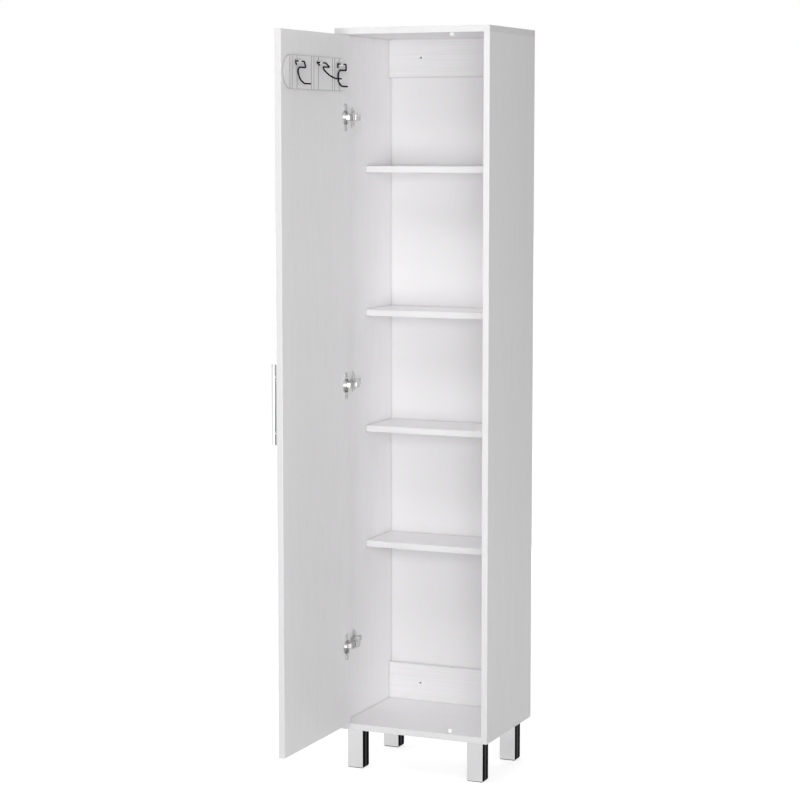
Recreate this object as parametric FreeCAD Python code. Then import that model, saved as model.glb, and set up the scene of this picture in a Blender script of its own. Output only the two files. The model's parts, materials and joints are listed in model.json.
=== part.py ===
import FreeCAD, Part
import math
import os

V = FreeCAD.Vector
os.makedirs("parts", exist_ok=True)

# A narrow broom cupboard on four legs, with one inset door on the left. Millimetres, +Z up, +X to the right, front
# towards -Y. Everything is drawn with the door closed, from the left, front and floor. The door, its links and its
# hooks are then swung to the stored pose, and the whole is moved so that the origin is under the middle of its box.

# ---------------------------------------------------------------- carcass
WIDTH = 392.0
HEIGHT = 1780.0
SIDE_DEPTH = 294.0
LEG_HEIGHT = 100.0
SIDE_BOARD = 15.0
TOP_BOARD = 15.0
BOTTOM_BOARD = 15.0
BACK_SHEET = 3.0
BACK_SHEET_MARGIN = 1.0
EDGE_ROUND = 0.6
SHELF_BOARD = 15.0
SHELF_DEPTH = 152.0
SHELF_HEIGHTS = (425.0, 710.0, 994.0, 1341.0)
RAIL_BOARD = 15.0
RAIL_HEIGHT = 92.0
WALL_HOLE_INSET = 86.7
WALL_HOLE_RADIUS = 2.5

# ---------------------------------------------------------------- joinery
DOWEL_RADIUS = 4.0
DOWEL_LENGTH = 30.0
DOWEL_DEPTH_SIDE = 9.0
DOWEL_PLAY = 0.05
TOP_DOWEL_INSET = 35.0
BOTTOM_DOWEL_INSET = 85.0
SHELF_DOWEL_INSET = 30.0
RAIL_DOWEL_INSET = 22.0
CAM_RADIUS = 7.5
CAM_DEPTH = 12.0
CAM_SETBACK = 24.0
CAM_SLOT_RADIUS = 3.6
CAM_END_INSET = 115.0
CAM_BOLT_RADIUS = 2.5
CAM_HEAD_RADIUS = 3.4
CAM_HEAD_LENGTH = 3.0
CAM_THREAD_DEPTH = 10.0
CAM_THREAD_RADIUS = 3.0
BACK_SCREW_RADIUS = 1.2
BACK_SCREW_LENGTH = 14.0
BACK_SCREW_HEAD_RADIUS = 2.6
BACK_SCREW_HEAD = 1.1
BACK_SCREW_ROWS = 7

# ---------------------------------------------------------------- legs
LEG_WIDTH = 40.0
LEG_DEPTH = 38.5
LEG_WALL = 3.0
LEG_EDGE_ROUND = 1.5
LEG_INSET_SIDE = 19.5
LEG_INSET_FRONT = 21.5
LEG_INSET_BACK = 22.5
INLAY_MARGIN = 1.2
INLAY_RECESS = 0.4
INLAY_RIB_WIDTH = 11.0
INLAY_RIB_HEIGHT = 0.35
GLIDE_THICKNESS = 2.0
GLIDE_INSET = 1.0
LEG_PLATE = 2.0
LEG_PLATE_INSET = 1.0
LEG_SCREW_RADIUS = 1.9
LEG_SCREW_LENGTH = 12.0
LEG_SCREW_HEAD_RADIUS = 3.6
LEG_SCREW_HEAD = 1.6
LEG_SCREW_INSET = 9.0

# ---------------------------------------------------------------- door
DOOR_BOARD = 15.0
HINGE_SIDE_GAP = 3.0
HANDLE_SIDE_GAP = 2.5
DOOR_GAP_BELOW = 2.0
DOOR_GAP_ABOVE = 2.0
STOP_RADIUS = 6.5
STOP_HEIGHT = 9.0
STOP_GAP = 0.4
STOP_FROM_RIGHT = 88.0
STOP_PIN_RADIUS = 2.5
STOP_PIN_LENGTH = 8.0
STOP_DOME = 4.5

# ---------------------------------------------------------------- handle
HANDLE_SPACING = 128.0
HANDLE_LENGTH = 184.0
HANDLE_RADIUS = 6.0
HANDLE_END_ROUND = 1.0
HANDLE_STANDOFF = 30.0
HANDLE_FROM_EDGE = 46.5
HANDLE_MIDDLE = 805.0
POST_RADIUS = 4.5
POST_FOOT_RADIUS = 6.5
POST_FOOT = 2.0
STUD_RADIUS = 2.0
STUD_IN_POST = 12.0
STUD_IN_DOOR = 11.0

# ---------------------------------------------------------------- cup hinges
HINGE_END_INSET = 192.0
CUP_RADIUS = 17.5
CUP_TAB = 3.0
CUP_DEPTH = 11.5
CUP_WALL = 0.8
CUP_PLAY = 0.05
FLANGE = 1.0
FLANGE_RADIUS = 19.0
FLANGE_EDGE_GAP = 1.0
WING_LENGTH = 64.0
WING_WIDTH = 17.0
WING_CORNER = 4.5
CUP_SCREW_SPACING = 48.0
CUP_SCREW_RADIUS = 1.75
CUP_SCREW_LENGTH = 11.0
CUP_SCREW_HEAD_RADIUS = 3.6
CUP_SCREW_HEAD = 1.3
LUG_INNER = 5.6
LUG_FROM_EDGE = 3.8
WINDOW_DEPTH = 6.0
WINDOW_HALF = 5.4
LUG_DEPTH = 7.0
LUG_WIDTH = 6.0
CUP_PIN_FROM_EDGE = 6.2
CUP_PIN_DEPTH = 3.0
ARM_PIN_FROM_SIDE = 34.0
ARM_PIN_FROM_FRONT = 10.5
PIN_RADIUS = 1.2
PIN_PLAY = 0.05
CUP_EYE_RADIUS = 2.0
ARM_EYE_RADIUS = 2.2
LINK_THICKNESS = 1.4
LINK_HALF_WIDTH = 5.0
LINK_BROAD_HALF = 7.0
LINK_BROAD_SPAN = (9.5, 18.5)
LINK_BULGE = 5.0
LINK_STEPS = 12
LINK_SWING = 64.5
DOOR_SWING = 90.0
ARM_HALF_WIDTH = 6.5
ARM_CHEEK = 1.2
ARM_SHEET = 1.3
ARM_NOSE_RADIUS = 3.2
ARM_NOSE_REACH = 4.3
ARM_HEIGHT = 12.5
ARM_CHEEK_DEPTH = 7.5
ARM_REAR = 88.0
CRANK_FRONT = 23.0
CRANK_REAR = 48.0
PLATE_BASE = 2.5
PLATE_FRONT = 47.0
PLATE_REAR = 85.0
PLATE_RIDGE_HALF = 4.9
PLATE_WING_LENGTH = 48.0
PLATE_WING_WIDTH = 12.0
PLATE_WING_FROM_FRONT = 66.0
PLATE_SCREW_SPACING = 32.0
PLATE_SCREW_RADIUS = 2.0
PLATE_SCREW_LENGTH = 11.0
PLATE_SCREW_HEAD_RADIUS = 3.8
PLATE_SCREW_HEAD = 1.3
ARM_SCREW_PLACES = (57.0, 77.0)
ARM_SCREW_RADIUS = 2.5
ARM_SCREW_LENGTH = 5.0
ARM_SCREW_HEAD_RADIUS = 3.9
ARM_SCREW_HEAD = 1.6

# ---------------------------------------------------------------- hook rack
RACK_LENGTH = 338.0
RACK_HEIGHT = 75.0
RACK_PLATE = 2.2
RACK_EDGE_ROUND = 0.8
RACK_FROM_HINGE_EDGE = 181.0
RACK_BELOW_TOP = 93.5
PAD_THICKNESS = 0.8
PAD_LENGTH = 84.0
PAD_PITCH = 110.0
PAD_HEIGHT = 40.0
FREE_END_MARGIN = 52.5
HINGE_END_MARGIN = 20.0
GROOVE_WIDTH = 2.2
GROOVE_DEPTH = 1.2
GROOVE_OFFSETS = (-20.0, -8.0, 16.0)
SLOT_WIDTH = 4.0
SLOT_HEIGHT = 6.0
SLOT_DEPTH = 1.0
SLOT_RISE = 17.0
SLOT_OFFSETS = (9.0, 18.0, 30.0)
WIRE_RADIUS = 1.75
AXLE_RISE = 24.1
AXLE_STANDOFF = 4.3
AXLE_LENGTH = 45.0
CLIP_PLAY = 0.06
CLIP_WALL = 1.4
CLIP_MOUTH = 2.4
CLIP_SPAN = (13.6, 23.6)
SADDLE_SPAN = (36.0, 39.0)
WIRE_BEND = 3.0
STUB_DROP = 9.5
CRANK_DROP = 14.0
RETURN_LENGTH = 32.0
HOOK_CURVE = ((-12.8, 22.4), (-10.7, 42.9), (9.0, 51.0))
HOOK_CURVE_RADII = (8.0, 12.0, 18.0, 12.0)
HOOK_FOOT = 30.0
HOOK_FLIPS = (13.0, 45.0, 0.0)

# ---------------------------------------------------------------- places worked out from the sizes above
INNER_LEFT = SIDE_BOARD
INNER_RIGHT = WIDTH - SIDE_BOARD
FLOOR_TOP = LEG_HEIGHT + BOTTOM_BOARD
CEILING = HEIGHT - TOP_BOARD
RAIL_FRONT = SIDE_DEPTH - RAIL_BOARD
SHELF_FRONT = SIDE_DEPTH - SHELF_DEPTH
DOOR_LEFT = INNER_LEFT + HINGE_SIDE_GAP
DOOR_RIGHT = INNER_RIGHT - HANDLE_SIDE_GAP
DOOR_BASE = FLOOR_TOP + DOOR_GAP_BELOW
DOOR_HEAD = CEILING - DOOR_GAP_ABOVE
HINGE_LEVELS = (DOOR_BASE + HINGE_END_INSET, (DOOR_BASE + DOOR_HEAD) / 2, DOOR_HEAD - HINGE_END_INSET)
HINGE_NAMES = ("lower", "middle", "upper")
CUP_X = DOOR_LEFT + CUP_TAB + CUP_RADIUS
CUP_PIN = (DOOR_LEFT + CUP_PIN_FROM_EDGE, DOOR_BOARD - CUP_PIN_DEPTH)
ARM_PIN = (INNER_LEFT + ARM_PIN_FROM_SIDE, ARM_PIN_FROM_FRONT)
HOOK_NAMES = ("left", "middle", "right")


def box(low, high):
    size = [b - a for a, b in zip(low, high)]
    return Part.makeBox(size[0], size[1], size[2], V(*low))


def rod(start, end, radius):
    way = V(*end) - V(*start)
    return Part.makeCylinder(radius, way.Length, V(*start), way)


def rounded(shape, radius, keep):
    """Rounds the straight edges for which keep(edge middle, edge direction) is true."""
    edges = []
    for edge in shape.Edges:
        if edge.Curve.TypeId == "Part::GeomLine":
            middle = (edge.Vertexes[0].Point + edge.Vertexes[-1].Point) * 0.5
            way = edge.Vertexes[-1].Point - edge.Vertexes[0].Point
            way.normalize()
            if keep(middle, way):
                edges.append(edge)
    return shape.makeFillet(radius, edges) if edges else shape


def plan(points, low, high):
    """A flat outline in plan, as a prism from one level to another."""
    wire = Part.makePolygon([V(x, y, low) for x, y in points] + [V(points[0][0], points[0][1], low)])
    return Part.Face(wire).extrude(V(0, 0, high - low))


def one(shape):
    """The single solid of a shape that a boolean left in a compound."""
    return shape.removeSplitter().Solids[0]


def export(name, shapes):
    shapes = shapes if isinstance(shapes, list) else [shapes]
    solids = [solid for shape in shapes for solid in shape.Solids]
    MODEL[name] = Part.makeCompound(solids) if len(solids) > 1 else solids[0]


MODEL = {}


# ---------------------------------------------------------------- joinery places
def dowel_places():
    """Middle of each dowel's joint face and the way it runs into the board that it carries."""
    places = []
    for x, way in ((INNER_LEFT, 1), (INNER_RIGHT, -1)):
        bottom = LEG_HEIGHT + BOTTOM_BOARD / 2
        for y in (BOTTOM_DOWEL_INSET, SIDE_DEPTH - BOTTOM_DOWEL_INSET):
            places.append((V(x, y, bottom), V(way, 0, 0)))
        for height in SHELF_HEIGHTS:
            level = FLOOR_TOP + height - SHELF_BOARD / 2
            for y in (SHELF_FRONT + SHELF_DOWEL_INSET, SIDE_DEPTH - SHELF_DOWEL_INSET):
                places.append((V(x, y, level), V(way, 0, 0)))
        for low in (FLOOR_TOP, CEILING - RAIL_HEIGHT):
            y = SIDE_DEPTH - RAIL_BOARD / 2
            places.append((V(x, y, low + RAIL_DOWEL_INSET), V(way, 0, 0)))
    for x in (SIDE_BOARD / 2, WIDTH - SIDE_BOARD / 2):
        for y in (TOP_DOWEL_INSET, SIDE_DEPTH / 2, SIDE_DEPTH - TOP_DOWEL_INSET):
            places.append((V(x, y, CEILING), V(0, 0, -1)))
    return places


def dowel(place, way, play=0.0):
    start = place - way * (DOWEL_DEPTH_SIDE + play)
    return Part.makeCylinder(DOWEL_RADIUS + play, DOWEL_LENGTH + 2 * play, start, way)


def cam_places():
    """Middle of each cam lock, the way its bolt runs to the side panel, and the way to its open face."""
    places = []
    for x, way in ((INNER_LEFT, -1), (INNER_RIGHT, 1)):
        for y in (CAM_END_INSET, SIDE_DEPTH - CAM_END_INSET):
            places.append((V(x, y, LEG_HEIGHT + BOTTOM_BOARD / 2), V(way, 0, 0), V(0, 0, -1), BOTTOM_BOARD))
        for low in (FLOOR_TOP, CEILING - RAIL_HEIGHT):
            level = low + RAIL_HEIGHT - RAIL_DOWEL_INSET
            places.append((V(x, SIDE_DEPTH - RAIL_BOARD / 2, level), V(way, 0, 0), V(0, 1, 0), RAIL_BOARD))
    return places


def cam_lock(joint, way, mouth, board, play=0.0):
    centre = joint - way * CAM_SETBACK + mouth * (board / 2)
    body = Part.makeCylinder(CAM_RADIUS + play, CAM_DEPTH + play, centre, mouth * -1)
    if play:
        return body
    inner = joint - way * (CAM_SETBACK + CAM_SLOT_RADIUS)
    slot = Part.makeCylinder(CAM_SLOT_RADIUS, CAM_RADIUS + 2 * CAM_SLOT_RADIUS, inner, way)
    key = Part.makeCylinder(CAM_SLOT_RADIUS, CAM_SLOT_RADIUS / 2, centre, mouth * -1)
    return body.cut(slot).cut(key)


def cam_bolt(joint, way, play=0.0):
    head = joint - way * (CAM_SETBACK + play)
    head_length = CAM_HEAD_LENGTH + play
    neck_radius = CAM_BOLT_RADIUS + play
    shape = Part.makeCylinder(neck_radius, CAM_SETBACK + CAM_THREAD_DEPTH + play, head, way)
    shape = shape.fuse(Part.makeCylinder(CAM_THREAD_RADIUS + play, CAM_THREAD_DEPTH + play, joint, way))
    if play:
        return shape
    return shape.fuse(Part.makeCylinder(CAM_HEAD_RADIUS, head_length, head, way))


def back_screw_places():
    """Where the small screws enter the back sheet."""
    span = HEIGHT - LEG_HEIGHT - 2 * RAIL_HEIGHT
    levels = [LEG_HEIGHT + RAIL_HEIGHT + span * i / (BACK_SCREW_ROWS - 1) for i in range(BACK_SCREW_ROWS)]
    places = [(x, z) for z in levels for x in (SIDE_BOARD / 2, WIDTH - SIDE_BOARD / 2)]
    places += [(WIDTH / 2, HEIGHT - TOP_BOARD / 2), (WIDTH / 2, LEG_HEIGHT + BOTTOM_BOARD / 2)]
    return places


def back_screw(x, z, play=0.0):
    rear = SIDE_DEPTH + BACK_SHEET
    shank = rod((x, rear, z), (x, rear - BACK_SCREW_LENGTH - play, z), BACK_SCREW_RADIUS + play)
    head = Part.makeCone(BACK_SCREW_HEAD_RADIUS + play, BACK_SCREW_RADIUS + play, BACK_SCREW_HEAD + play,
                         V(x, rear, z), V(0, -1, 0))
    return shank.fuse(head)


def joinery_cutters():
    cutters = [dowel(place, way, DOWEL_PLAY) for place, way in dowel_places()]
    for place in cam_places():
        cutters.append(cam_lock(*place, DOWEL_PLAY))
        cutters.append(cam_bolt(place[0], place[1], DOWEL_PLAY))
    cutters += [back_screw(x, z, DOWEL_PLAY) for x, z in back_screw_places()]
    return cutters


def bored(board, cutters):
    """The board with the holes that reach into it."""
    near = [c for c in cutters if c.BoundBox.intersect(board.BoundBox)]
    return one(board.cut(near)) if near else board


# ---------------------------------------------------------------- carcass
def front_edge(middle, way):
    return abs(middle.y) < 1e-6


def carcass():
    cutters = joinery_cutters() + hinge_plate_holes() + stop_holes() + leg_holes()

    def board(low, high):
        return rounded(box(low, high), EDGE_ROUND, front_edge)

    export("side_panel_left", bored(board((0, 0, LEG_HEIGHT), (SIDE_BOARD, SIDE_DEPTH, CEILING)), cutters))
    export("side_panel_right",
           bored(board((INNER_RIGHT, 0, LEG_HEIGHT), (WIDTH, SIDE_DEPTH, CEILING)), cutters))
    export("top_panel", bored(board((0, 0, CEILING), (WIDTH, SIDE_DEPTH, HEIGHT)), cutters))
    export("bottom_panel",
           bored(board((INNER_LEFT, 0, LEG_HEIGHT), (INNER_RIGHT, SIDE_DEPTH, FLOOR_TOP)), cutters))
    sheet = box((BACK_SHEET_MARGIN, SIDE_DEPTH, LEG_HEIGHT + BACK_SHEET_MARGIN),
                (WIDTH - BACK_SHEET_MARGIN, SIDE_DEPTH + BACK_SHEET, HEIGHT - BACK_SHEET_MARGIN))
    wall_holes = wall_fixing_holes()
    export("back_panel", bored(sheet, cutters + wall_holes))
    for name, low in (("back_rail_lower", FLOOR_TOP), ("back_rail_upper", CEILING - RAIL_HEIGHT)):
        rail = box((INNER_LEFT, RAIL_FRONT, low), (INNER_RIGHT, SIDE_DEPTH, low + RAIL_HEIGHT))
        export(name, bored(rail, cutters + wall_holes))
    for i, height in enumerate(SHELF_HEIGHTS):
        top = FLOOR_TOP + height
        shelf = box((INNER_LEFT, SHELF_FRONT, top - SHELF_BOARD), (INNER_RIGHT, SIDE_DEPTH, top))
        shelf = rounded(shelf, EDGE_ROUND, lambda middle, way: abs(middle.y - SHELF_FRONT) < 1e-6
                        and abs(way.x) > 0.9)
        export(f"shelf_{i + 1}", bored(shelf, cutters))
    export("dowels", [dowel(place, way) for place, way in dowel_places()])
    export("cam_locks", [cam_lock(*place) for place in cam_places()])
    export("cam_bolts", [cam_bolt(place[0], place[1]) for place in cam_places()])
    export("back_panel_screws", [back_screw(x, z) for x, z in back_screw_places()])


def wall_fixing_holes():
    """Screw holes for the wall, through the rails and the back sheet."""
    holes = []
    for low in (FLOOR_TOP, CEILING - RAIL_HEIGHT):
        for x in (INNER_LEFT + WALL_HOLE_INSET, INNER_RIGHT - WALL_HOLE_INSET):
            level = low + RAIL_HEIGHT / 2
            reach = RAIL_BOARD + BACK_SHEET
            holes.append(rod((x, RAIL_FRONT - 1, level), (x, RAIL_FRONT + reach + 1, level), WALL_HOLE_RADIUS))
    return holes


# ---------------------------------------------------------------- legs
def leg_corners():
    """Left front corner of each leg."""
    right = WIDTH - LEG_INSET_SIDE - LEG_WIDTH
    back = SIDE_DEPTH + BACK_SHEET - LEG_INSET_BACK - LEG_DEPTH
    return (("front_left", LEG_INSET_SIDE, LEG_INSET_FRONT), ("front_right", right, LEG_INSET_FRONT),
            ("back_left", LEG_INSET_SIDE, back), ("back_right", right, back))


def leg_shell(x, y):
    """Bright square tube, its two sides sunk for the inlays, its top closed by the mounting plate."""
    low, high = GLIDE_THICKNESS, LEG_HEIGHT - LEG_PLATE
    tube = box((x, y, low), (x + LEG_WIDTH, y + LEG_DEPTH, high))
    tube = rounded(tube, LEG_EDGE_ROUND, lambda middle, way: abs(way.z) > 0.9)
    hollow = box((x + LEG_WALL, y + LEG_WALL, low), (x + LEG_WIDTH - LEG_WALL, y + LEG_DEPTH - LEG_WALL, high))
    tube = tube.cut(hollow)
    for side in (x, x + LEG_WIDTH - LEG_WALL / 2):
        tube = tube.cut(box((side, y + INLAY_MARGIN, low), (side + LEG_WALL / 2, y + LEG_DEPTH - INLAY_MARGIN, high)))
    return one(tube)


def leg_inlays(x, y):
    """Black strips with a flat rib along their middle, one in each side of the leg."""
    low, high = GLIDE_THICKNESS, LEG_HEIGHT - LEG_PLATE
    strips = []
    middle = y + LEG_DEPTH / 2
    for inner, out in ((x + LEG_WALL / 2, -1), (x + LEG_WIDTH - LEG_WALL / 2, 1)):
        face = inner + out * (LEG_WALL / 2 - INLAY_RECESS)
        rib = face + out * INLAY_RIB_HEIGHT
        front, rear = y + INLAY_MARGIN, y + LEG_DEPTH - INLAY_MARGIN
        half = INLAY_RIB_WIDTH / 2
        outline = [(inner, front), (face, front), (face, middle - half), (rib, middle - half + INLAY_RIB_HEIGHT),
                   (rib, middle + half - INLAY_RIB_HEIGHT), (face, middle + half), (face, rear), (inner, rear)]
        strips.append(plan(outline, low, high))
    return strips


def leg_glide(x, y):
    foot = box((x + GLIDE_INSET, y + GLIDE_INSET, 0),
               (x + LEG_WIDTH - GLIDE_INSET, y + LEG_DEPTH - GLIDE_INSET, GLIDE_THICKNESS))
    plug_low = LEG_WALL + DOWEL_PLAY
    plug = box((x + plug_low, y + plug_low, GLIDE_THICKNESS),
               (x + LEG_WIDTH - plug_low, y + LEG_DEPTH - plug_low, GLIDE_THICKNESS + 2 * LEG_WALL))
    return one(rounded(foot, LEG_EDGE_ROUND, lambda middle, way: abs(way.z) > 0.9).fuse(plug))


def leg_screw_places(x, y):
    cx, cy = x + LEG_WIDTH / 2, y + LEG_DEPTH / 2
    dx, dy = LEG_WIDTH / 2 - LEG_SCREW_INSET, LEG_DEPTH / 2 - LEG_SCREW_INSET
    return [(cx + i * dx, cy + j * dy) for i in (-1, 1) for j in (-1, 1)]


def leg_plate(x, y):
    inset = LEG_PLATE_INSET
    plate = box((x + inset, y + inset, LEG_HEIGHT - LEG_PLATE),
                (x + LEG_WIDTH - inset, y + LEG_DEPTH - inset, LEG_HEIGHT))
    for px, py in leg_screw_places(x, y):
        plate = plate.cut(rod((px, py, LEG_HEIGHT - LEG_PLATE - 1), (px, py, LEG_HEIGHT + 1),
                              LEG_SCREW_RADIUS + DOWEL_PLAY))
    return one(plate)


def leg_screw(px, py, play=0.0):
    bottom = LEG_HEIGHT - LEG_PLATE
    shank = rod((px, py, bottom), (px, py, LEG_HEIGHT + LEG_SCREW_LENGTH - LEG_PLATE + play), LEG_SCREW_RADIUS + play)
    if play:
        return shank
    return shank.fuse(rod((px, py, bottom - LEG_SCREW_HEAD), (px, py, bottom), LEG_SCREW_HEAD_RADIUS))


def leg_holes():
    return [leg_screw(px, py, DOWEL_PLAY) for _, x, y in leg_corners() for px, py in leg_screw_places(x, y)]


def legs():
    screws, plates, glides = [], [], []
    for name, x, y in leg_corners():
        export(f"leg_{name}", leg_shell(x, y))
        export(f"leg_inlays_{name}", leg_inlays(x, y))
        glides.append(leg_glide(x, y))
        plates.append(leg_plate(x, y))
        screws += [leg_screw(px, py) for px, py in leg_screw_places(x, y)]
    export("leg_glides", glides)
    export("leg_plates", plates)
    export("leg_screws", screws)


# ---------------------------------------------------------------- door stops
def stop(base, up, play=0.0):
    """Round bumper with a pin pressed into the board; up is the way it stands out."""
    x = INNER_RIGHT - STOP_FROM_RIGHT
    y = DOOR_BOARD + STOP_GAP + STOP_RADIUS
    pin = Part.makeCylinder(STOP_PIN_RADIUS + play, STOP_PIN_LENGTH + play, V(x, y, base), V(0, 0, -up))
    if play:
        return pin
    body = Part.makeCylinder(STOP_RADIUS, STOP_HEIGHT, V(x, y, base), V(0, 0, up))
    rim = [e for e in body.Edges if abs(e.BoundBox.Center.z - (base + up * STOP_HEIGHT)) < 1e-6
           and e.Curve.TypeId == "Part::GeomCircle"]
    return one(body.makeFillet(STOP_DOME, rim).fuse(pin))


def stop_holes():
    return [stop(FLOOR_TOP, 1, DOWEL_PLAY), stop(CEILING, -1, DOWEL_PLAY)]


# ---------------------------------------------------------------- cup hinges
def wing_plate(level):
    """The flange's upright plate with rounded corners."""
    face = DOOR_BOARD
    plate = box((CUP_X - WING_WIDTH / 2, face, level - WING_LENGTH / 2),
                (CUP_X + WING_WIDTH / 2, face + FLANGE, level + WING_LENGTH / 2))
    return rounded(plate, WING_CORNER, lambda middle, way: abs(way.y) > 0.9)


def cup(level):
    """Pressed cup with a winged flange, open inside, and two lugs that hold the link's pin."""
    face = DOOR_BOARD
    cavity_radius = CUP_RADIUS - CUP_WALL
    floor = face - CUP_DEPTH
    shell = rod((CUP_X, floor, level), (CUP_X, face, level), CUP_RADIUS)
    flange = rod((CUP_X, face, level), (CUP_X, face + FLANGE, level), FLANGE_RADIUS)
    flange = flange.fuse(wing_plate(level))
    edge_limit = DOOR_LEFT + FLANGE_EDGE_GAP
    trim = box((edge_limit - WING_LENGTH, face - 1, level - WING_LENGTH), (edge_limit, face + 2 * FLANGE,
                                                                          level + WING_LENGTH))
    body = shell.fuse(flange).cut(trim)
    cavity = rod((CUP_X, floor + CUP_WALL, level), (CUP_X, face + 2 * FLANGE, level), cavity_radius)
    body = body.cut(cavity)
    lug_edge = DOOR_LEFT + LUG_FROM_EDGE
    for way in (-1, 1):
        inner, outer = level + way * LUG_INNER, level + way * CUP_RADIUS
        low, high = min(inner, outer), max(inner, outer)
        lug = box((lug_edge, face - LUG_DEPTH, low), (lug_edge + LUG_WIDTH, face, high))
        body = body.fuse(lug.common(rod((CUP_X, floor, level), (CUP_X, face, level), CUP_RADIUS - CUP_WALL / 2)))
    window = box((DOOR_LEFT, face - WINDOW_DEPTH, level - WINDOW_HALF),
                 (lug_edge + 2 * CUP_WALL, face + 2 * FLANGE, level + WINDOW_HALF))
    body = body.cut(window).cut(cup_pin(level, PIN_PLAY / 5))
    for z in cup_screw_levels(level):
        body = body.cut(rod((CUP_X, face - 1, z), (CUP_X, face + 2 * FLANGE, z), CUP_SCREW_RADIUS + DOWEL_PLAY))
    return one(body)


def cup_pin(level, play=0.0):
    """Pivot pin in the cup's lugs, its ends inside the lugs."""
    half = LUG_INNER + 2.0
    return rod((*CUP_PIN, level - half - play), (*CUP_PIN, level + half + play), PIN_RADIUS + play)


def cup_screw_levels(level):
    return level - CUP_SCREW_SPACING / 2, level + CUP_SCREW_SPACING / 2


def cup_screw(z, play=0.0):
    top = DOOR_BOARD + FLANGE
    shank = rod((CUP_X, top - CUP_SCREW_LENGTH - play, z), (CUP_X, top, z), CUP_SCREW_RADIUS + play)
    if play:
        return shank
    head = rod((CUP_X, top, z), (CUP_X, top + CUP_SCREW_HEAD, z), CUP_SCREW_HEAD_RADIUS)
    slot = box((CUP_X - CUP_SCREW_HEAD_RADIUS, top + CUP_SCREW_HEAD / 2, z - 0.4),
               (CUP_X + CUP_SCREW_HEAD_RADIUS, top + CUP_SCREW_HEAD, z + 0.4))
    return one(shank.fuse(head).cut(slot))


def link(level):
    """Curved link with a rolled eye at each end and a broad middle, bulging round the cup's rim."""
    start, end = V(*CUP_PIN, level), V(*ARM_PIN, level)
    along = end - start
    out = V(along.y, -along.x, 0).normalize()
    places = [i / LINK_STEPS for i in range(LINK_STEPS + 1)]
    middles = [start + along * p ** 2 + out * (LINK_BULGE * math.sin(math.pi * p)) for p in places]
    curve = Part.BSplineCurve()
    curve.interpolate(middles)
    half = LINK_THICKNESS / 2
    sides = ([], [])
    for point in middles:
        way = curve.tangent(curve.parameter(point))[0]
        normal = V(way.y, -way.x, 0)
        sides[0].append(point + normal * half)
        sides[1].append(point - normal * half)
    outer, inner = Part.BSplineCurve(), Part.BSplineCurve()
    outer.interpolate(sides[0])
    inner.interpolate(sides[1][::-1])
    wire = Part.Wire([outer.toShape(), Part.makeLine(sides[0][-1], sides[1][-1]), inner.toShape(),
                      Part.makeLine(sides[1][0], sides[0][0])])
    low, high = level - LINK_HALF_WIDTH, level + LINK_HALF_WIDTH
    shape = Part.Face(wire).extrude(V(0, 0, 2 * LINK_HALF_WIDTH))
    shape.translate(V(0, 0, -LINK_HALF_WIDTH))
    broad = Part.Face(wire).extrude(V(0, 0, 2 * LINK_BROAD_HALF))
    broad.translate(V(0, 0, -LINK_BROAD_HALF))
    bottom, top = level - LINK_BROAD_HALF - 1, level + LINK_BROAD_HALF + 1
    near, far = [rod((*CUP_PIN, bottom), (*CUP_PIN, top), reach) for reach in LINK_BROAD_SPAN]
    shape = shape.fuse(broad.common(far.cut(near)))
    for (x, y), radius in ((CUP_PIN, CUP_EYE_RADIUS), (ARM_PIN, ARM_EYE_RADIUS)):
        shape = shape.fuse(rod((x, y, low), (x, y, high), radius))
    for x, y in (CUP_PIN, ARM_PIN):
        shape = shape.cut(rod((x, y, low - 1), (x, y, high + 1), PIN_RADIUS + PIN_PLAY))
    return one(shape)


def arm_profile(shift=0.0, trim=0.0):
    """Side view of the cranked arm in plan; shift moves its inner face towards the side panel."""
    px, py = ARM_PIN
    inner = INNER_LEFT + ARM_HEIGHT - shift
    nose = px + ARM_NOSE_REACH - shift
    depth = ARM_CHEEK_DEPTH - shift + trim
    return [(inner, ARM_REAR), (inner, CRANK_REAR), (nose, CRANK_FRONT), (nose, py),
            (px - ARM_NOSE_RADIUS - trim, py), (nose - depth - 1.0, CRANK_FRONT - 2.0),
            (inner - depth, CRANK_REAR - 4.0), (inner - depth, ARM_REAR)]


def arm(level):
    """Folded channel from the mounting plate to the link's pin, cranked inwards for an inset door."""
    px, py = ARM_PIN
    low, high = level - ARM_HALF_WIDTH, level + ARM_HALF_WIDTH
    body = plan(arm_profile(), low, high)
    nose = px + ARM_NOSE_REACH
    tip = rod((px, py, low), (px, py, high), ARM_NOSE_RADIUS)
    body = body.fuse(tip).fuse(box((px, py - ARM_NOSE_RADIUS, low), (nose, py, high)))
    channel_low, channel_high = low + ARM_CHEEK, high - ARM_CHEEK
    channel = plan(arm_profile(ARM_SHEET, 2 * ARM_CHEEK_DEPTH), channel_low, channel_high)
    nose_room = box((px - 3 * ARM_CHEEK_DEPTH, py - 2 * ARM_NOSE_RADIUS, channel_low),
                    (nose - ARM_SHEET, py, channel_high))
    body = body.cut(channel.fuse(nose_room))
    body = body.cut(arm_pin(level, PIN_PLAY / 5))
    for y in ARM_SCREW_PLACES:
        inner = INNER_LEFT + ARM_HEIGHT
        body = body.cut(rod((inner - 2 * ARM_SHEET, y, level), (inner + 1, y, level), ARM_SCREW_RADIUS + DOWEL_PLAY))
    return one(body)


def arm_pin(level, play=0.0):
    """Pivot pin through both cheeks of the arm."""
    half = ARM_HALF_WIDTH + (play and 1.0)
    return rod((*ARM_PIN, level - half), (*ARM_PIN, level + half), PIN_RADIUS + play)


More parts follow.
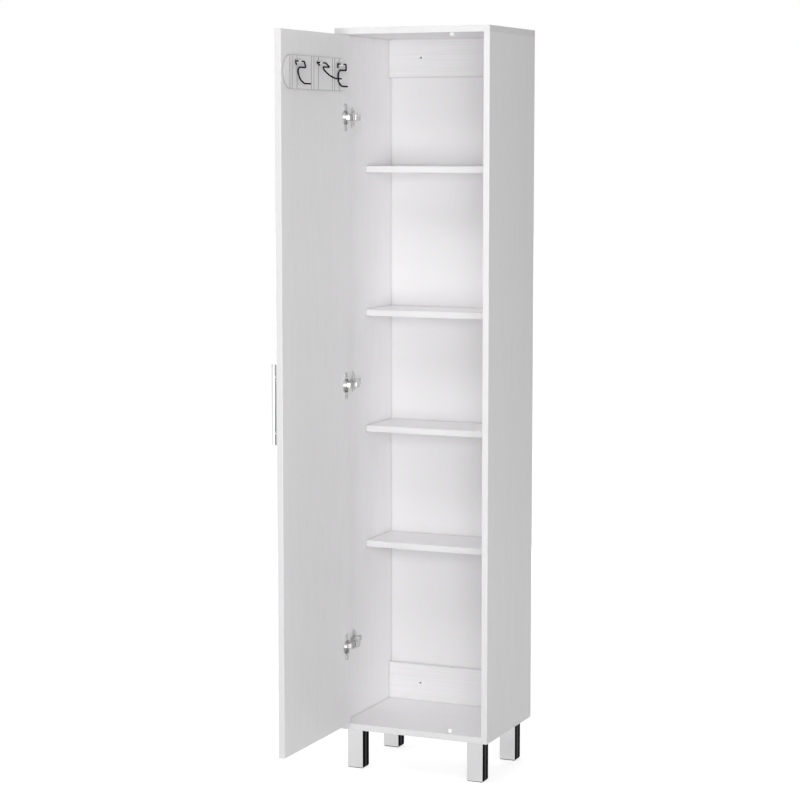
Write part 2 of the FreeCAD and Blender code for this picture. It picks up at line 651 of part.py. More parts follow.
def arm_screw(y, level, play=0.0):
    top = INNER_LEFT + ARM_HEIGHT
    shank = rod((top - ARM_SCREW_LENGTH - play, y, level), (top, y, level), ARM_SCREW_RADIUS + play)
    if play:
        return shank
    head = rod((top, y, level), (top + ARM_SCREW_HEAD, y, level), ARM_SCREW_HEAD_RADIUS)
    slots = box((top + ARM_SCREW_HEAD / 2, y - 0.5, level - 2.4), (top + ARM_SCREW_HEAD, y + 0.5, level + 2.4))
    slots = slots.fuse(box((top + ARM_SCREW_HEAD / 2, y - 2.4, level - 0.5),
                           (top + ARM_SCREW_HEAD, y + 2.4, level + 0.5)))
    return one(shank.fuse(head).cut(slots))


def hinge_plate(level):
    """Cross-shaped mounting plate with a ridge under the arm and two winged screw seats."""
    base = box((INNER_LEFT, PLATE_FRONT, level - PLATE_RIDGE_HALF),
               (INNER_LEFT + PLATE_BASE, PLATE_REAR, level + PLATE_RIDGE_HALF))
    ridge_top = INNER_LEFT + ARM_HEIGHT - ARM_SHEET
    ridge = box((INNER_LEFT, PLATE_FRONT, level - PLATE_RIDGE_HALF), (ridge_top, PLATE_REAR, level + PLATE_RIDGE_HALF))
    ridge = rounded(ridge, 2.0, lambda middle, way: abs(way.z) > 0.9 and middle.x > INNER_LEFT + 1)
    half = (PLATE_WING_LENGTH - PLATE_WING_WIDTH) / 2
    y = PLATE_WING_FROM_FRONT
    wings = box((INNER_LEFT, y - PLATE_WING_WIDTH / 2, level - half),
                (INNER_LEFT + PLATE_BASE, y + PLATE_WING_WIDTH / 2, level + half))
    for end in (-half, half):
        wings = wings.fuse(rod((INNER_LEFT, y, level + end), (INNER_LEFT + PLATE_BASE, y, level + end),
                               PLATE_WING_WIDTH / 2))
    body = base.fuse(ridge).fuse(wings)
    for z in plate_screw_levels(level):
        body = body.cut(rod((INNER_LEFT - 1, y, z), (INNER_LEFT + PLATE_BASE + 1, y, z),
                            PLATE_SCREW_RADIUS + DOWEL_PLAY))
    for place in ARM_SCREW_PLACES:
        body = body.cut(arm_screw(place, level, DOWEL_PLAY))
    return one(body)


def plate_screw_levels(level):
    return level - PLATE_SCREW_SPACING / 2, level + PLATE_SCREW_SPACING / 2


def plate_screw(z, play=0.0):
    top = INNER_LEFT + PLATE_BASE
    y = PLATE_WING_FROM_FRONT
    shank = rod((top - PLATE_SCREW_LENGTH - play, y, z), (top, y, z), PLATE_SCREW_RADIUS + play)
    if play:
        return shank
    head = rod((top, y, z), (top + PLATE_SCREW_HEAD, y, z), PLATE_SCREW_HEAD_RADIUS)
    slot = box((top + PLATE_SCREW_HEAD / 2, y - PLATE_SCREW_HEAD_RADIUS, z - 0.4),
               (top + PLATE_SCREW_HEAD, y + PLATE_SCREW_HEAD_RADIUS, z + 0.4))
    return one(shank.fuse(head).cut(slot))


def hinge_plate_holes():
    return [plate_screw(z, DOWEL_PLAY) for level in HINGE_LEVELS for z in plate_screw_levels(level)]


def hinges():
    for name, level in zip(HINGE_NAMES, HINGE_LEVELS):
        export(f"hinge_plate_{name}", hinge_plate(level))
        export(f"hinge_arm_{name}", arm(level))
        export(f"hinge_link_{name}", link_open(link(level)))
        export(f"hinge_cup_{name}", door_open(cup(level)))
    levels = HINGE_LEVELS
    export("hinge_plate_screws", [plate_screw(z) for level in levels for z in plate_screw_levels(level)])
    export("hinge_arm_screws", [arm_screw(y, level) for level in levels for y in ARM_SCREW_PLACES])
    export("hinge_arm_pins", [arm_pin(level) for level in levels])
    export("hinge_cup_pins", [door_open(cup_pin(level)) for level in levels])
    export("hinge_cup_screws", [door_open(cup_screw(z)) for level in levels for z in cup_screw_levels(level)])


# ---------------------------------------------------------------- swing to the stored pose
def link_open(shape):
    """Turns a piece drawn closed with the links about the arm's pin."""
    turned = shape.copy()
    turned.rotate(V(*ARM_PIN, 0), V(0, 0, 1), LINK_SWING)
    return turned


def door_open(shape):
    """Turns a piece drawn closed on the door: about the cup's pin, then with the links."""
    turned = shape.copy()
    turned.rotate(V(*CUP_PIN, 0), V(0, 0, 1), -(DOOR_SWING + LINK_SWING))
    return link_open(turned)


# ---------------------------------------------------------------- door
def door_panel():
    panel = box((DOOR_LEFT, 0, DOOR_BASE), (DOOR_RIGHT, DOOR_BOARD, DOOR_HEAD))
    panel = rounded(panel, EDGE_ROUND, lambda middle, way: middle.y < 1e-6 or middle.y > DOOR_BOARD - 1e-6)
    cutters = []
    for level in HINGE_LEVELS:
        floor = DOOR_BOARD - CUP_DEPTH - CUP_PLAY
        cutters.append(rod((CUP_X, floor, level), (CUP_X, DOOR_BOARD + 1, level), CUP_RADIUS + CUP_PLAY))
        cutters += [cup_screw(z, DOWEL_PLAY) for z in cup_screw_levels(level)]
    cutters += [handle_stud(z, DOWEL_PLAY) for z in handle_levels()]
    return one(panel.cut(cutters))


def handle_levels():
    middle = DOOR_BASE + HANDLE_MIDDLE
    return middle - HANDLE_SPACING / 2, middle + HANDLE_SPACING / 2


def handle_x():
    return DOOR_RIGHT - HANDLE_FROM_EDGE


def handle_bar():
    x, y = handle_x(), -HANDLE_STANDOFF
    middle = DOOR_BASE + HANDLE_MIDDLE
    half = HANDLE_LENGTH / 2
    bar = rod((x, y, middle - half), (x, y, middle + half), HANDLE_RADIUS)
    rims = [e for e in bar.Edges if e.Curve.TypeId == "Part::GeomCircle"]
    bar = bar.makeFillet(HANDLE_END_ROUND, rims)
    for z in handle_levels():
        bar = bar.cut(rod((x, y, z), (x, 0, z), POST_RADIUS))
    return one(bar)


def handle_post(z):
    """Round post from the bar's middle to a wider foot on the door."""
    x = handle_x()
    post = rod((x, -HANDLE_STANDOFF, z), (x, 0, z), POST_RADIUS)
    foot = Part.makeCone(POST_FOOT_RADIUS, POST_RADIUS, 2 * POST_FOOT, V(x, -POST_FOOT, z), V(0, -1, 0))
    post = post.fuse(foot).fuse(rod((x, -POST_FOOT, z), (x, 0, z), POST_FOOT_RADIUS))
    return one(post.cut(handle_stud(z, DOWEL_PLAY)))


def handle_stud(z, play=0.0):
    x = handle_x()
    return rod((x, -STUD_IN_POST - play, z), (x, STUD_IN_DOOR + play, z), STUD_RADIUS + play)


def door():
    export("door_panel", door_open(door_panel()))
    export("handle_bar", door_open(handle_bar()))
    export("handle_posts", [door_open(handle_post(z)) for z in handle_levels()])
    export("handle_studs", [door_open(handle_stud(z)) for z in handle_levels()])
    export("door_stop_lower", stop(FLOOR_TOP, 1))
    export("door_stop_upper", stop(CEILING, -1))


# ---------------------------------------------------------------- hook rack on the inside of the door
RACK_X = DOOR_LEFT + RACK_FROM_HINGE_EDGE
RACK_Z = DOOR_HEAD - RACK_BELOW_TOP
RACK_BACK = DOOR_BOARD + PAD_THICKNESS
RACK_FACE = RACK_BACK + RACK_PLATE
AXLE_Y = RACK_FACE + AXLE_STANDOFF
HOOK_PITCH = (RACK_LENGTH - FREE_END_MARGIN - HINGE_END_MARGIN - AXLE_LENGTH) / (len(HOOK_FLIPS) - 1)
AXLE_Z = RACK_Z + AXLE_RISE


def hook_starts():
    """Where each hook's top wire begins, on its side nearer the door's free edge."""
    first = RACK_X + RACK_LENGTH / 2 - FREE_END_MARGIN
    return [first - i * HOOK_PITCH for i in range(len(HOOK_FLIPS))]


def rack_plate():
    """Long plate with round ends, grooves beside its stations, and a clip and a saddle for each hook's top wire."""
    straight = (RACK_LENGTH - RACK_HEIGHT) / 2
    plate = box((RACK_X - straight, RACK_BACK, RACK_Z - RACK_HEIGHT / 2),
                (RACK_X + straight, RACK_FACE, RACK_Z + RACK_HEIGHT / 2))
    for end in (-straight, straight):
        plate = plate.fuse(rod((RACK_X + end, RACK_BACK, RACK_Z), (RACK_X + end, RACK_FACE, RACK_Z), RACK_HEIGHT / 2))
    plate = one(plate)
    rim = [e for e in plate.Edges if abs(e.BoundBox.YMin - RACK_FACE) < 1e-4 and abs(e.BoundBox.YMax - RACK_FACE) < 1e-4]
    plate = plate.makeFillet(RACK_EDGE_ROUND, rim)
    for start in hook_starts():
        for offset in GROOVE_OFFSETS:
            x = start - offset
            plate = plate.cut(box((x - GROOVE_WIDTH / 2, RACK_FACE - GROOVE_DEPTH, RACK_Z - RACK_HEIGHT),
                                  (x + GROOVE_WIDTH / 2, RACK_FACE + 1, RACK_Z + RACK_HEIGHT)))
        for offset in SLOT_OFFSETS:
            x = start - offset
            low = RACK_Z + SLOT_RISE + SLOT_HEIGHT
            plate = plate.cut(box((x - SLOT_WIDTH / 2, RACK_FACE - SLOT_DEPTH, low),
                                  (x + SLOT_WIDTH / 2, RACK_FACE + 1, low + SLOT_HEIGHT)))
        plate = plate.fuse(clip(start - CLIP_SPAN[1], start - CLIP_SPAN[0]))
        plate = plate.fuse(saddle(start - SADDLE_SPAN[1], start - SADDLE_SPAN[0]))
    return one(plate)


def saddle(low, high):
    """Half-round rest behind the far end of the top wire, open to the front."""
    reach = WIRE_RADIUS + CLIP_PLAY + CLIP_WALL
    rest = box((low, RACK_FACE - RACK_PLATE / 2, AXLE_Z - reach), (high, AXLE_Y, AXLE_Z + reach))
    return rest.cut(rod((low - 1, AXLE_Y, AXLE_Z), (high + 1, AXLE_Y, AXLE_Z), WIRE_RADIUS + CLIP_PLAY))


def clip(low, high):
    """A post with a round eye that the top wire snaps into from above and turns in."""
    reach = WIRE_RADIUS + CLIP_PLAY + CLIP_WALL
    eye = rod((low, AXLE_Y, AXLE_Z), (high, AXLE_Y, AXLE_Z), reach)
    post = box((low, RACK_FACE - RACK_PLATE / 2, AXLE_Z - reach), (high, AXLE_Y, AXLE_Z + reach))
    bore = rod((low - 1, AXLE_Y, AXLE_Z), (high + 1, AXLE_Y, AXLE_Z), WIRE_RADIUS + CLIP_PLAY)
    mouth = box((low - 1, AXLE_Y - CLIP_MOUTH / 2, AXLE_Z), (high + 1, AXLE_Y + CLIP_MOUTH / 2, AXLE_Z + 2 * reach))
    return eye.fuse(post).cut(bore).cut(mouth)


def rack_pads():
    """Adhesive foam pads between the rack and the door."""
    pads = []
    for place in (-1, 0, 1):
        x = RACK_X + place * PAD_PITCH
        pads.append(box((x - PAD_LENGTH / 2, DOOR_BOARD, RACK_Z - PAD_HEIGHT / 2),
                        (x + PAD_LENGTH / 2, RACK_BACK, RACK_Z + PAD_HEIGHT / 2)))
    return pads


def bent(points, radii):
    """A wire path through corner points, each corner rounded by a tangent arc."""
    edges = []
    last = points[0]
    for i in range(1, len(points) - 1):
        corner, before, after = points[i], points[i - 1], points[i + 1]
        arrive, leave = (corner - before).normalize(), (after - corner).normalize()
        turn = arrive.getAngle(leave)
        setback = radii[i - 1] * math.tan(turn / 2)
        first, second = corner - arrive * setback, corner + leave * setback
        inward = (leave - arrive).normalize()
        middle = corner + inward * (radii[i - 1] / math.cos(turn / 2) - radii[i - 1])
        edges.append(Part.makeLine(last, first))
        edges.append(Part.Arc(first, middle, second).toShape())
        last = second
    edges.append(Part.makeLine(last, points[-1]))
    return Part.Wire(edges)


def hook(start, flip):
    """Flat bent wire hook: short end, top wire in the clip, crank, a bulging curve, and a level foot."""
    def at(along, down):
        return V(start - along, AXLE_Y, AXLE_Z - down)

    neck = AXLE_LENGTH - RETURN_LENGTH
    points = [at(0, STUB_DROP), at(0, 0), at(AXLE_LENGTH, 0), at(AXLE_LENGTH, CRANK_DROP), at(neck, CRANK_DROP)]
    points += [at(neck + along, down) for along, down in HOOK_CURVE]
    toe, level = HOOK_CURVE[-1]
    points.append(at(neck + toe + HOOK_FOOT, level))
    path = bent(points, (WIRE_BEND, WIRE_BEND, WIRE_BEND, *HOOK_CURVE_RADII))
    first = path.Edges[0]
    section = Part.Wire([Part.makeCircle(WIRE_RADIUS, points[0], first.tangentAt(first.FirstParameter))])
    wire = path.makePipeShell([section], True, False)
    turned = wire.Solids[0] if wire.Solids else Part.Solid(wire)
    turned.rotate(V(start, AXLE_Y, AXLE_Z), V(1, 0, 0), flip)
    return turned


def hook_rack():
    export("hook_rack_plate", door_open(rack_plate()))
    export("hook_rack_pads", [door_open(pad) for pad in rack_pads()])
    for name, start, flip in zip(HOOK_NAMES, hook_starts(), HOOK_FLIPS):
        export(f"hook_{name}", door_open(hook(start, flip)))


# ---------------------------------------------------------------- origin and files
def stored(x, y):
    """Where a point of the closed door comes to in plan when it is stored open."""
    point = door_open(Part.Vertex(x, y, 0)).Point
    return point.x, point.y


def origin():
    """The middle of the whole box at floor level, as the cupboard is stored with its door open."""
    low_x = stored(handle_x(), -HANDLE_STANDOFF)[0] - HANDLE_RADIUS
    low_y = stored(DOOR_RIGHT, 0)[1]
    return V((low_x + WIDTH) / 2, (low_y + SIDE_DEPTH + BACK_SHEET) / 2, 0)


def write():
    shift = origin() * -1
    for name, shape in MODEL.items():
        shape.translate(shift)
        shape.exportStep(f"parts/{name}.step")


carcass()
legs()
hinges()
door()
hook_rack()
write()
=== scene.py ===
import json
import math

import bmesh
import bpy
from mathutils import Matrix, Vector


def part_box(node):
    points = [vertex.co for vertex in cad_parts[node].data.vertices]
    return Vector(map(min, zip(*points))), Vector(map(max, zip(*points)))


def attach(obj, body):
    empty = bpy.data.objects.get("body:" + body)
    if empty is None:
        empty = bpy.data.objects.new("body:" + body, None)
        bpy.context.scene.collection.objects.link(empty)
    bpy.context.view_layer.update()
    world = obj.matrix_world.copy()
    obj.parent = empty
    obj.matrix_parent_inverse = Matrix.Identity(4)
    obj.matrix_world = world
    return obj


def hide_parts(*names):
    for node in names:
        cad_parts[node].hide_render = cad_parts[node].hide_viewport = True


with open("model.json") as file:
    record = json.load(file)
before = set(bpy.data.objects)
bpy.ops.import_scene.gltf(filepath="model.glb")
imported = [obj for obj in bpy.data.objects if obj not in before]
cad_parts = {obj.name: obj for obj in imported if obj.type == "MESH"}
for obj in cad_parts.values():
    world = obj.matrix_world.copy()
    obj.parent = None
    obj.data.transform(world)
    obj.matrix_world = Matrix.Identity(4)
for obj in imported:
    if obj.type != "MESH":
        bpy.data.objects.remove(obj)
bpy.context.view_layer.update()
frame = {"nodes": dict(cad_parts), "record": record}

MM = 0.001
UPRIGHT, LEVEL = (0, 0, 1), (1, 0, 0)
SIDEWAYS_FACE, FRONT_FACE, TOP_FACE = (1, 0, 0), (0, 1, 0), (0, 0, 1)
HINGE_LEVELS = ("lower", "middle", "upper")
CORNERS = ("front_left", "front_right", "back_left", "back_right")

# Foils as their darkest, mean and lightest streak. The rails' foil is the boards' foil painted a step
# darker, as painted shade that holds down the extra light falling on the rails.
BOARD_FOIL = ("#EAE9EA", "#F2F1F2", "#F7F6F7")
RAIL_FOIL_PAINTED_SHADE = ("#E0DFE0", "#E8E7E8", "#EDECED")
EDGING = "#E6E5E6"
FINE_STREAK, BROAD_STREAK = (2.2, 140.0), (22.0, 600.0)     # width and length in millimetres
PAINTED_SHADE_REACH, PAINTED_CORNER_SHADE = 6.0, 0.8                           # millimetres of reach, and the light left in a corner by the painted shade

# Millimetres by which an edge is eased.
BOARD_EASING, SHEET_EASING = 0.35, 0.15
LEG_EASING, GLIDE_EASING, LEG_PLATE_EASING = 0.25, 0.3, 0.2
HINGE_PLATE_EASING, HINGE_ARM_EASING, HINGE_LINK_EASING, HINGE_CUP_EASING = 0.25, 0.2, 0.15, 0.15
SCREW_EASING = 0.12
WELD = 0.002                                                # millimetres between points taken as one
FLAT_WITHIN, SMOOTH_BELOW, EASED_ABOVE = 0.5, 32, 35        # degrees between two faces
RACK_STEP, RACK_RIM_WIDTH, RIB_HALF_WIDTH = 0.02, 1.0, 1.0  # millimetres


# ---------------------------------------------------------------- materials
def linear(hex_colour):
    """An sRGB hex colour as linear RGBA."""
    channels = [int(hex_colour[i:i + 2], 16) / 255 for i in (1, 3, 5)]
    return [c / 12.92 if c <= 0.04045 else ((c + 0.055) / 1.055) ** 2.4 for c in channels] + [1.0]


def add(tree, kind, inputs=None, **settings):
    """Adds a node. An input is a value, or a socket that is linked to it.

    A Map Range takes 0 value, 1 and 2 from, 3 and 4 to. A colour Mix takes 0 factor, 6 and 7 colours.
    """
    node = tree.nodes.new(kind)
    for name, value in settings.items():
        setattr(node, name, value)
    for key, value in (inputs or {}).items():
        if isinstance(value, bpy.types.NodeSocket):
            tree.links.new(value, node.inputs[key])
        else:
            node.inputs[key].default_value = value
    return node


def shader(name, inputs):
    """A new material with one Principled shader; inputs as for add."""
    material = bpy.data.materials.new(name)
    material.use_nodes = True
    tree = material.node_tree
    principled = tree.nodes["Principled BSDF"]
    for key, value in inputs.items():
        principled.inputs[key].default_value = value
    return material, tree, principled


def stretched_noise(tree, across, along, grain, detail=3.0):
    """Noise drawn out along the grain. One streak is across by along millimetres."""
    scale = [1 / (along * MM) if axis else 1 / (across * MM) for axis in grain]
    coordinates = add(tree, "ShaderNodeTexCoord")
    mapping = add(tree, "ShaderNodeMapping", {"Vector": coordinates.outputs["Object"], "Scale": scale})
    noise = add(tree, "ShaderNodeTexNoise", {"Vector": mapping.outputs[0], "Scale": 1.0,
                                             "Detail": detail, "Roughness": 0.6})
    return noise.outputs[0]


def painted_corner_shade(tree, colour):
    """Painted shade: ambient occlusion darkens the colour where boards meet, which draws a fine grey line
    in the corner.
    """
    corner = add(tree, "ShaderNodeAmbientOcclusion", {"Distance": PAINTED_SHADE_REACH * MM}, samples=8)
    open_to_light = add(tree, "ShaderNodeMapRange", {0: corner.outputs["AO"], 1: 0.45, 2: 0.95,
                                                     3: PAINTED_CORNER_SHADE, 4: 1.0})
    return add(tree, "ShaderNodeMix", {0: 1.0, 6: colour.outputs[2], 7: open_to_light.outputs[0]},
               data_type="RGBA", blend_type="MULTIPLY")


def melamine(name, grain, face, foil=BOARD_FOIL):
    """Melamine-faced particle board: a satin foil with a very faint drawn-out grain on the faces that
    look along face, and plain ABS edging on the narrow sides."""
    material, tree, principled = shader(name, {"IOR": 1.5})
    dark, mean, light = foil
    fine = stretched_noise(tree, *FINE_STREAK, grain, 4.0)
    broad = stretched_noise(tree, *BROAD_STREAK, grain, 2.0)
    streaked = add(tree, "ShaderNodeValToRGB", {"Fac": fine})
    for stop, position, colour in zip(streaked.color_ramp.elements, (0.36, 0.66), (dark, light)):
        stop.position = position
        stop.color = linear(colour)
    clouded = add(tree, "ShaderNodeMix", {0: broad, 6: streaked.outputs["Color"], 7: linear(mean)},
                  data_type="RGBA")
    normal = add(tree, "ShaderNodeTexCoord").outputs["Normal"]
    along_face = add(tree, "ShaderNodeVectorMath", {0: normal, 1: face}, operation="DOT_PRODUCT")
    on_face = add(tree, "ShaderNodeMath", {0: along_face.outputs["Value"]}, operation="ABSOLUTE")
    foiled = add(tree, "ShaderNodeMapRange", {0: on_face.outputs[0], 1: 0.6, 2: 0.7})
    edged = add(tree, "ShaderNodeMix", {0: foiled.outputs[0], 6: linear(EDGING), 7: clouded.outputs[2]},
                data_type="RGBA")
    # Painted shade darkens the colour in the corners where boards meet.
    shaded = painted_corner_shade(tree, edged)
    roughness = add(tree, "ShaderNodeMapRange", {0: fine, 1: 0.3, 2: 0.7, 3: 0.36, 4: 0.46})
    pores = add(tree, "ShaderNodeBump", {"Height": fine, "Strength": 0.12, "Distance": 0.1 * MM})
    tree.links.new(shaded.outputs[2], principled.inputs["Base Color"])
    tree.links.new(roughness.outputs[0], principled.inputs["Roughness"])
    tree.links.new(pores.outputs[0], principled.inputs["Normal"])
    return material


def lacquered_hardboard():
    """White lacquered hardboard: flat and a little greyer than the boards, with a soft mottle of fibres."""
    material, tree, principled = shader("white lacquered hardboard", {"Roughness": 0.55, "IOR": 1.5})
    mottle = stretched_noise(tree, 1.5, 1.5, UPRIGHT)
    mottled = add(tree, "ShaderNodeMix", {0: mottle, 6: linear("#E3E2E3"), 7: linear("#EDECED")},
                  data_type="RGBA")
    # Painted shade darkens the colour in the corners where the sheet meets the boards.
    shaded = painted_corner_shade(tree, mottled)
    fibres = add(tree, "ShaderNodeBump", {"Height": mottle, "Strength": 0.1, "Distance": 0.1 * MM})
    tree.links.new(shaded.outputs[2], principled.inputs["Base Color"])
    tree.links.new(fibres.outputs[0], principled.inputs["Normal"])
    return material


def plated(name, colour, roughness, brush=None):
    """Plated steel: its roughness says how sharply it mirrors the room. Brushing draws the mirrored
    lights out along brush."""
    material, tree, principled = shader(name, {"Base Color": linear(colour), "Metallic": 1.0,
                                               "Roughness": roughness})
    if brush:
        lines = stretched_noise(tree, 0.4, 30.0, brush)
        spread = add(tree, "ShaderNodeMapRange", {0: lines, 1: 0.3, 2: 0.7, 3: roughness * 0.8,
                                                  4: roughness * 1.25})
        tree.links.new(spread.outputs[0], principled.inputs["Roughness"])
    return material


def moulded(name, colour, roughness, grit=None, gloss=0.5):
    """Moulded plastic or a coating: one colour, with a fine even texture if grit gives its size in
    millimetres."""
    material, tree, principled = shader(name, {"Base Color": linear(colour), "Roughness": roughness,
                                               "IOR": 1.5, "Specular IOR Level": gloss})
    if grit:
        texture = stretched_noise(tree, grit, grit, UPRIGHT, 2.0)
        skin = add(tree, "ShaderNodeBump", {"Height": texture, "Strength": 0.15, "Distance": 0.1 * MM})
        tree.links.new(skin.outputs[0], principled.inputs["Normal"])
    return material


def turned_beech():
    """Beech dowel: pale brown with short darker flecks along the rod."""
    material, tree, principled = shader("turned beech", {"Roughness": 0.6, "IOR": 1.5})
    flecks = stretched_noise(tree, 0.8, 6.0, LEVEL)
    flecked = add(tree, "ShaderNodeMix", {0: flecks, 6: linear("#DCC098"), 7: linear("#B98F5E")},
                  data_type="RGBA")
    tree.links.new(flecked.outputs[2], principled.inputs["Base Color"])
    return material


# White boards: the grain runs upright on the sides and the door, and level on the shelves and rails.
UPRIGHT_BOARD = melamine("white melamine board upright grain", UPRIGHT, SIDEWAYS_FACE)
# The rails carry painted shade: the boards' foil, a step darker.
RAIL_BOARD = melamine("white melamine rail level grain", LEVEL, FRONT_FACE, RAIL_FOIL_PAINTED_SHADE)
LEVEL_BOARD = melamine("white melamine board level grain", LEVEL, TOP_FACE)
HARDBOARD = lacquered_hardboard()

# Metals, from the sharp mirror of the handle to the dull grey of the screws.
CHROME = plated("polished chrome plate", "#D6D7D8", 0.08)
LEG_CHROME = plated("satin chrome leg", "#CFCFD0", 0.2, UPRIGHT)
NICKEL = plated("nickel plated pressed steel", "#D4D4D3", 0.24)
ZINC = plated("zinc plated steel", "#BFC2C4", 0.34)

# Black strips in the legs' sides, with a satin rib whose less black colour is a painted highlight, over
# dark feet.
INLAY = moulded("black matt ABS", "#040405", 0.6, gloss=0.01)
PAINTED_RIB_HIGHLIGHT = moulded("black satin ABS with painted highlight", "#222225", 0.4, gloss=0.05)
GLIDE = moulded("dark grey polyethylene", "#3A3A3B", 0.5)

# The hook rack: a white plate on the white door, told apart by painted shade, grey on its rim and in its
# grooves, and black hooks.
WHITE_PLASTIC = moulded("white moulded polypropylene", "#F0EFF0", 0.34, 0.6)
PAINTED_RIM_SHADE = moulded("white polypropylene with painted rim shade", "#B6B6B8", 0.4)
PAINTED_GROOVE_SHADE = moulded("white polypropylene with painted groove shade", "#8A8A8D", 0.5)
WIRE = moulded("black powder coated wire", "#030303", 0.55, 0.4, gloss=0.03)
FOAM = moulded("white foam tape", "#E4E4E2", 0.8, 0.5)

BUMPER = moulded("white soft bumper", "#F0F0EF", 0.5)
BEECH = turned_beech()


# ---------------------------------------------------------------- CAD pieces with their finish
def body_name(node):
    """The rigid body that the record puts a node in."""
    return next(name for name, nodes in frame["record"]["behaviour"]["bodies"].items() if node in nodes)


def finish(node, material, edge=0.0):
    """A copy of a CAD node with welded points and edges eased by edge millimetres, in its material."""
    mesh = frame["nodes"][node].data.copy()
    piece = bpy.data.objects.new(f"{node}_finished", mesh)
    bpy.context.scene.collection.objects.link(piece)
    shape = bmesh.new()
    shape.from_mesh(mesh)
    bmesh.ops.remove_doubles(shape, verts=shape.verts, dist=WELD * MM)
    bmesh.ops.dissolve_limit(shape, angle_limit=math.radians(FLAT_WITHIN), verts=shape.verts,
                             edges=shape.edges)
    bmesh.ops.recalc_face_normals(shape, faces=shape.faces)
    for face in shape.faces:
        face.smooth = True
        face.material_index = 0
    for line in shape.edges:
        line.smooth = (len(line.link_faces) == 2
                       and line.calc_face_angle(0.0) < math.radians(SMOOTH_BELOW))
    shape.to_mesh(mesh)
    shape.free()
    mesh.materials.clear()
    mesh.materials.append(material)
    if edge:
        bevel = piece.modifiers.new("eased edges", "BEVEL")
        bevel.width = edge * MM
        bevel.segments = 2
        bevel.limit_method = "ANGLE"
        bevel.angle_limit = math.radians(EASED_ABOVE)
        bevel.harden_normals = True
    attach(piece, body_name(node))
    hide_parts(node)
    return piece


def line_out(plate, rim, groove):
    """Painted shade: the plate's rounded rim and its grooves are painted in greys of their own, so that its
    outline is seen.
    """
    mesh = plate.data
    mesh.materials.append(rim)
    mesh.materials.append(groove)
    low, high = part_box("hook_rack_plate")
    middle = (low + high) / 2
    half_height = (high.z - low.z) / 2
    straight = (high.y - low.y) / 2 - half_height
    face = max((p for p in mesh.polygons if p.normal.x > 0.99), key=lambda p: p.area).center.x
    for polygon in mesh.polygons:
        place = polygon.center
        if place.x < face - RACK_STEP * MM and polygon.normal.x > -0.9:
            along = max(-straight, min(straight, place.y - middle.y))
            off_line = math.hypot(place.y - middle.y - along, place.z - middle.z)
            # Painted shade: rim faces take the pale grey, groove faces the darker grey.
            polygon.material_index = 1 if off_line > half_height - RACK_RIM_WIDTH * MM else 2


def paint_rib_highlight(inlays):
    """The raised rib along the middle of each inlay has a satin, and a painted highlight that makes its
    colour less black than the strips.
    """
    mesh = inlays.data
    mesh.materials.append(PAINTED_RIB_HIGHLIGHT)
    middle = (min(v.co.y for v in mesh.vertices) + max(v.co.y for v in mesh.vertices)) / 2
    for polygon in mesh.polygons:
        if abs(polygon.normal.x) > 0.9 and abs(polygon.center.y - middle) < RIB_HALF_WIDTH * MM:
            # The rib's faces take the painted highlight.
            polygon.material_index = 1


def paint(node, material):
    """A CAD node that stays as it is and only gets its material."""
    for slot in frame["nodes"][node].material_slots:
        slot.material = material


for node in ("side_panel_left", "side_panel_right", "door_panel"):
    finish(node, UPRIGHT_BOARD, BOARD_EASING)
for node in ("top_panel", "bottom_panel", "shelf_1", "shelf_2", "shelf_3", "shelf_4"):
    finish(node, LEVEL_BOARD, BOARD_EASING)
for node in ("back_rail_upper", "back_rail_lower"):
    finish(node, RAIL_BOARD, BOARD_EASING)
finish("back_panel", HARDBOARD, SHEET_EASING)

for corner in CORNERS:
    finish(f"leg_{corner}", LEG_CHROME, LEG_EASING)
    paint_rib_highlight(finish(f"leg_inlays_{corner}", INLAY))
finish("leg_glides", GLIDE, GLIDE_EASING)
finish("leg_plates", ZINC, LEG_PLATE_EASING)
finish("handle_bar", CHROME)
finish("handle_posts", CHROME)
for level in HINGE_LEVELS:
    finish(f"hinge_plate_{level}", NICKEL, HINGE_PLATE_EASING)
    finish(f"hinge_arm_{level}", NICKEL, HINGE_ARM_EASING)
    finish(f"hinge_link_{level}", NICKEL, HINGE_LINK_EASING)
    finish(f"hinge_cup_{level}", NICKEL, HINGE_CUP_EASING)
for node in ("hinge_plate_screws", "hinge_arm_screws", "hinge_cup_screws", "hinge_arm_pins",
             "hinge_cup_pins"):
    finish(node, ZINC, SCREW_EASING)
for node in ("leg_screws", "back_panel_screws", "handle_studs", "cam_locks", "cam_bolts"):
    paint(node, ZINC)
paint("dowels", BEECH)
finish("door_stop_lower", BUMPER)
finish("door_stop_upper", BUMPER)
line_out(finish("hook_rack_plate", WHITE_PLASTIC), PAINTED_RIM_SHADE, PAINTED_GROOVE_SHADE)
paint("hook_rack_pads", FOAM)
for node in ("hook_left", "hook_middle", "hook_right"):
    finish(node, WIRE)


# ---------------------------------------------------------------- floor, light and camera
PAPER_REACH = 30.0                                          # metres from the middle to the paper's edge
GLOW_FROM, GLOW_TO, GLOW_AT_FEET = 0.5, 2.5, 0.7            # metres, metres, share of full white
CARD_EDGE, CARD_FULL = -0.5, -0.64                          # how far to the left a mirrored ray looks
EYE_FROM_PANEL, EYE_HEIGHT = (2.3467, -4.9581), 1.5125      # metres
EYE_TILT, EYE_TURN = 83.64, 23.72                           # degrees
LENS, SENSOR = 103.88, 36.0                                 # millimetres


def ray_is(tree, *kinds):
    """1 on a ray of one of these kinds, else 0."""
    path = add(tree, "ShaderNodeLightPath")
    answer = path.outputs[f"Is {kinds[0]} Ray"]
    for kind in kinds[1:]:
        answer = add(tree, "ShaderNodeMath", {0: answer, 1: path.outputs[f"Is {kind} Ray"]},
                     operation="MAXIMUM").outputs[0]
    return answer


